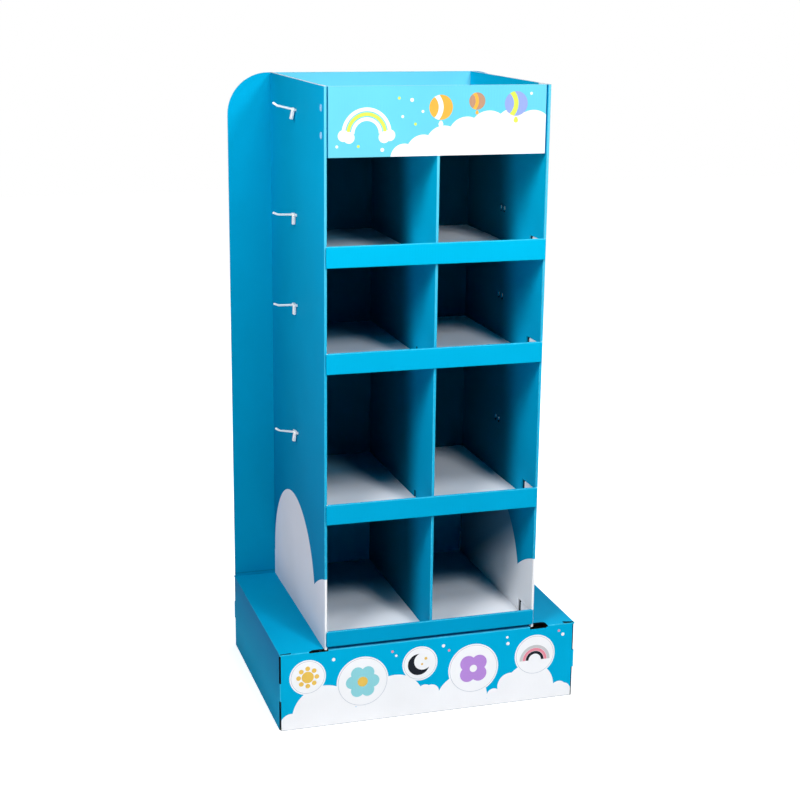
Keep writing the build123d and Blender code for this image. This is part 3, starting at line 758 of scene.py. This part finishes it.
def moulded_plastic(name, colour):
    """Injection-moulded nylon: smooth, slightly soft to light, faint flow marks."""
    material, tree, at = new_material(name)
    flow = add(tree, "TexNoise",
               {"Vector": at.place, "Scale": FLOW_MARKS, "Detail": 3.0, "Roughness": 0.5})
    tone = add(tree, "MapRange", flow, 0.3, 0.7, 0.985, 1.0)
    tint = add(tree, "HueSaturation", {"Value": tone, "Color": rgba(colour)})
    roughness = add(tree, "MapRange", flow, 0.3, 0.7, 0.24, 0.36)
    height = add(tree, "Math", flow, 0.00015, operation="MULTIPLY")
    bump = add(tree, "Bump", {"Strength": 0.5, "Distance": 1.0, "Height": height})
    shader = add(tree, "BsdfPrincipled", {
        "Base Color": tint, "Roughness": roughness, "IOR": 1.53, "Subsurface Weight": 0.05,
        "Subsurface Scale": 0.002, "Normal": bump})
    add(tree, "OutputMaterial", shader)
    return material


def edges_at(verts):
    """Edges that meet at some vertices, each once and in a fixed order."""
    return list(dict.fromkeys(edge for vert in verts for edge in vert.link_edges))


def block(bm, low, high, ease):
    """Cuboid with eased edges added to a mesh."""
    size = [h - l for l, h in zip(low, high)]
    middle = [(h + l) / 2 for l, h in zip(low, high)]
    matrix = Matrix.Translation(middle) @ Matrix.Diagonal((*size, 1.0))
    verts = bmesh.ops.create_cube(bm, size=1.0, matrix=matrix)["verts"]
    bmesh.ops.bevel(bm, geom=edges_at(verts), offset=ease, offset_type="OFFSET", segments=2,
                    profile=0.5, affect="EDGES", material=-1)


def draw_out(bm, edges, move):
    """Extrude a ring of edges, move it on, and return its new vertices and edges."""
    out = bmesh.ops.extrude_edge_only(bm, edges=edges)["geom"]
    verts = [g for g in out if isinstance(g, BMVert)]
    bmesh.ops.translate(bm, verts=verts, vec=move)
    return verts, [g for g in out if isinstance(g, BMEdge)]


def hook_mesh(fit):
    """Left-hand hook about the point where it enters the wall: arm, tip, leg, bar and prongs."""
    bm = bmesh.new()
    middle, rise = -fit.bar_offset, radians(fit.rise)
    # The bend takes this much of the arm and of the tip
    taken = fit.bend * tan(rise / 2)
    start = fit.reach - taken
    facing = Matrix.Translation((middle, 0, 0)) @ Matrix.Rotation(-pi / 2, 4, "Y")
    ring = bmesh.ops.create_circle(bm, cap_ends=True, segments=fit.sides, radius=fit.rod / 2,
                                   matrix=facing)
    verts, edges = draw_out(bm, edges_at(ring["verts"]), (fit.bar_offset - start, 0, 0))
    bent = bmesh.ops.spin(bm, geom=verts + edges, cent=(-start, 0, fit.bend), axis=(0, 1, 0),
                          angle=rise, steps=5, use_duplicate=False)["geom_last"]
    edges = [g for g in bent if isinstance(g, BMEdge)]
    # The tip and its rounded end: length of each step and the share of the width after it
    heading = Vector((-cos(rise), 0, sin(rise)))
    centre, before = Vector((-fit.reach, 0, 0)) + heading * taken, 1.0
    for step, width in ((fit.tip - taken, 1.0), (fit.rod * 0.25, 0.87), (fit.rod * 0.17, 0.55)):
        verts, edges = draw_out(bm, edges, heading * step)
        centre = centre + heading * step
        bmesh.ops.scale(bm, verts=verts, vec=(width / before,) * 3,
                        space=Matrix.Translation(-centre))
        before = width
    bmesh.ops.contextual_create(bm, geom=edges)
    # Cross bar, leg and the boss over them: half depth, half width, bottom, top, eased edge
    half_spacing = fit.prong_spacing / 2
    for deep, wide, bottom, top, ease in (
            (0.0028, half_spacing + 0.002, -0.0028, 0.0028, 0.0006),
            (0.0033, 0.005, -fit.leg, 0.0025, 0.0010),
            (0.0025, 0.005, 0.0, 0.0037, 0.0008)):
        block(bm, (middle - deep, -wide, bottom), (middle + deep, wide, top), ease)
    # Two prongs through the wall's slots, each with a barb that catches behind the outer layer
    for y in (-half_spacing, half_spacing):
        for near, bottom, top in ((middle, -0.0025, 0.0025), (BOARD + 0.0006, 0.0, 0.0055)):
            block(bm, (near, y - 0.002, bottom), (WALL - BOARD / 2, y + 0.002, top), 0.0004)
    bmesh.ops.recalc_face_normals(bm, faces=bm.faces)
    return bm


def hold(name, data):
    """Object in the scene for a mesh, a lamp or a camera."""
    holder = bpy.data.objects.new(name, data)
    bpy.context.scene.collection.objects.link(holder)
    return holder


def settle(bm, name, material):
    """Turn a finished mesh into an object at the origin, smooth except at sharp edges."""
    mesh = bpy.data.meshes.new(name)
    for edge in bm.edges:
        edge.smooth = len(edge.link_faces) == 2 and edge.calc_face_angle(0.0) < SHARP
    for face in bm.faces:
        face.smooth = True
    bm.to_mesh(mesh)
    bm.free()
    mesh.materials.append(material)
    return hold(name, mesh)


class STAND_OT_hooks(Operator):
    """Mould the eight display hooks and hang them in the side walls"""

    bl_idname = "stand.hooks"
    bl_label = "Hooks"

    def execute(self, context):
        fit = context.scene.stand_fittings
        material = moulded_plastic("moulded_white_nylon", fit.white)
        for side, sign in (("left", -1), ("right", 1)):
            for number, (drop, tilt) in enumerate(zip(HOOK_DROPS, HOOK_TILTS), start=1):
                bm = hook_mesh(fit)
                bm.transform(Euler((0, radians(tilt), 0)).to_matrix().to_4x4())
                bm.transform(Matrix.Translation((TOWER_LOW.x, FRONT + HOOK_SETBACK, TOP - drop)))
                if sign > 0:
                    bm.transform(Matrix.Scale(-1, 4, (1, 0, 0)))
                    bmesh.ops.recalc_face_normals(bm, faces=bm.faces)
                piece = settle(bm, "display_hook_%s_%d" % (side, number), material)
                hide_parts("hook_%s_%d" % (side, number))
                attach(piece, "root")
        return {"FINISHED"}


def turned(bm, outline, sides):
    """Spin an outline of (radius, height) points about the Z axis into a closed form."""
    verts = [bm.verts.new((radius, 0, height)) for radius, height in outline]
    edges = [bm.edges.new(pair) for pair in zip(verts, verts[1:])]
    bmesh.ops.spin(bm, geom=verts + edges, cent=(0, 0, 0), axis=(0, 0, 1), angle=2 * pi,
                   steps=sides, use_merge=True, use_duplicate=False)
    bmesh.ops.remove_doubles(bm, verts=bm.verts, dist=1e-6)


def rivet_forms(fit):
    """Outlines of a snap rivet's headed stud and of its cap, heights out from the wall's face."""
    head, stud, play = fit.head / 2, 0.0032, 0.0003
    grip = WALL + play + BOARD
    end = -grip - 0.0037
    headed = [
        (0, end), (stud * 0.8, end), (stud, end + 0.0006), (stud, 0), (head - 0.0002, 0),
        (head, 0.0003), (head, 0.0008), (head * 0.93, 0.0014), (head * 0.72, 0.0020),
        (head * 0.45, 0.00235), (head * 0.38, 0.0023), (head * 0.34, 0.0017),
        (head * 0.2, 0.0015), (0, 0.0015)]
    bore, back = stud + 0.0001, -grip - 0.004
    cap = [
        (bore, -grip), (head, -grip), (head, -grip - 0.0016), (head * 0.9, -grip - 0.0024),
        (head * 0.66, -grip - 0.0038), (head * 0.6, back), (bore, back), (bore, -grip)]
    return headed, cap


class STAND_OT_rivets(Operator):
    """Mould the snap rivets that hold the header's end flaps"""

    bl_idname = "stand.rivets"
    bl_label = "Rivets"

    def execute(self, context):
        fit = context.scene.stand_fittings
        material = moulded_plastic("moulded_rivet_nylon", fit.rivet)
        for outline, node in zip(rivet_forms(fit), ("header_rivets", "rivet_caps")):
            bm = bmesh.new()
            for sign in (-1, 1):
                for drop in RIVET_DROPS:
                    one = bmesh.new()
                    turned(one, outline, fit.sides)
                    one.transform(Matrix.Rotation(pi / 2, 4, "Y"))
                    place = (TOWER_HIGH.x, FRONT + RIVET_SETBACK, TOP - drop)
                    one.transform(Matrix.Translation(place))
                    if sign < 0:
                        one.transform(Matrix.Scale(-1, 4, (1, 0, 0)))
                    bmesh.ops.recalc_face_normals(one, faces=one.faces)
                    spare = bpy.data.meshes.new("spare")
                    one.to_mesh(spare)
                    one.free()
                    bm.from_mesh(spare)
                    bpy.data.meshes.remove(spare)
            piece = settle(bm, "moulded_" + node, material)
            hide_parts(node)
            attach(piece, "root")
        return {"FINISHED"}


def seen(tree):
    """Mask of the rays that bring what the camera sees, straight or by way of a gloss."""
    rays = add(tree, "LightPath").node.outputs
    return any_of(tree, rays["Is Camera Ray"], rays["Is Glossy Ray"], rays["Is Transmission Ray"])


class STAND_OT_studio(Operator):
    """Set the floor, lamps, white surroundings and camera"""

    bl_idname = "stand.studio"
    bl_label = "Studio"

    def execute(self, context):
        scene = context.scene
        bm = bmesh.new()
        bmesh.ops.create_grid(bm, x_segments=1, y_segments=1, size=FLOOR_HALF,
                              matrix=Matrix.Translation((0, 0, FLOOR_HEIGHT)))
        # White paper sweep: matt, lifted to white where it is seen so that only shadows show
        material, tree, at = new_material("white_paper_sweep")
        paper = add(tree, "BsdfPrincipled", {
            "Base Color": rgba(srgb("#F0F0F1")), "Roughness": 0.95, "Specular IOR Level": 0.0})
        away = add(tree, "VectorMath", at.place, output="Value", operation="LENGTH")
        lift = add(tree, "MapRange", away, *FLOOR_FADE, *FLOOR_LIFT,
                   interpolation_type="SMOOTHSTEP")
        # The floor under the plinth has no lift, so that no light comes out from there
        inset = 0.002
        under = all_of(tree, (at.far_x, "<", PLINTH_HIGH.x - inset),
                       (at.y, ">", PLINTH_LOW.y + inset), (at.y, "<", PLINTH_HIGH.y - inset))
        lift = all_of(tree, seen(tree), lift, (under, "<", 0.5))
        glow = add(tree, "Emission", rgba(WHITE), lift)
        add(tree, "OutputMaterial", add(tree, "AddShader", paper, glow))
        settle(bm, "paper_sweep", material)
        for name, place, target, size, watts in LAMPS:
            lamp = bpy.data.lights.new(name, "AREA")
            lamp.shape = "RECTANGLE"
            lamp.size, lamp.size_y = size
            lamp.energy = watts
            holder = hold(name, lamp)
            holder.location = place
            toward = Vector(target) - Vector(place)
            holder.rotation_euler = toward.to_track_quat("-Z", "Y").to_euler()
        # Surroundings: white where they are seen, and almost no light of their own
        world = bpy.data.worlds.new("white_studio")
        world.use_nodes = True
        tree = world.node_tree
        tree.nodes.clear()
        level = add(tree, "MapRange", seen(tree), 0.0, 1.0, AMBIENT, 1.0)
        add(tree, "OutputWorld", add(tree, "Background", rgba(WHITE), level))
        scene.world = world
        scene.view_settings.view_transform = "Standard"
        camera = bpy.data.cameras.new("photo_camera")
        camera.sensor_width = 36.0
        camera.sensor_fit = "HORIZONTAL"
        camera.lens = CAMERA_LENS
        yaw, pitch, roll = (radians(a) for a in (CAMERA_YAW, CAMERA_PITCH, CAMERA_ROLL))
        ahead = Vector((-sin(yaw) * cos(pitch), cos(yaw) * cos(pitch), sin(pitch)))
        right = Vector((cos(yaw), sin(yaw), 0))
        up = right.cross(ahead)
        right, up = cos(roll) * right + sin(roll) * up, cos(roll) * up - sin(roll) * right
        turn = Matrix((right, up, -ahead)).transposed()
        holder = hold("photo_camera", camera)
        holder.matrix_world = Matrix.Translation(CAMERA_PLACE) @ turn.to_4x4()
        scene.camera = holder
        return {"FINISHED"}


class STAND_PT_stand(Panel):
    """Sidebar panel with the stand's settings and steps"""

    bl_label = "Display stand"
    bl_space_type = "VIEW_3D"
    bl_region_type = "UI"
    bl_category = "Stand"

    def draw(self, context):
        layout = self.layout
        for group in (context.scene.stand_print, context.scene.stand_fittings):
            for key in group.__annotations__:
                layout.prop(group, key)
        for step in STEPS:
            layout.operator(step.bl_idname)


STEPS = (STAND_OT_studio, STAND_OT_tower, STAND_OT_back_board, STAND_OT_header, STAND_OT_shelves,
         STAND_OT_dividers, STAND_OT_plinth, STAND_OT_hooks, STAND_OT_rivets)
CLASSES = (STAND_PG_print, STAND_PG_fittings, *STEPS, STAND_PT_stand)


def register():
    """Register the classes and hang the settings on the scene."""
    for cls in CLASSES:
        bpy.utils.register_class(cls)
    bpy.types.Scene.stand_print = PointerProperty(type=STAND_PG_print)
    bpy.types.Scene.stand_fittings = PointerProperty(type=STAND_PG_fittings)


def unregister():
    """Take the settings and classes away again."""
    del bpy.types.Scene.stand_fittings
    del bpy.types.Scene.stand_print
    for cls in reversed(CLASSES):
        bpy.utils.unregister_class(cls)


def main():
    """Run every step in order."""
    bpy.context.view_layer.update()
    register()
    for step in STEPS:
        group, name = step.bl_idname.split(".")
        getattr(getattr(bpy.ops, group), name)()


if __name__ == "__main__":
    main()
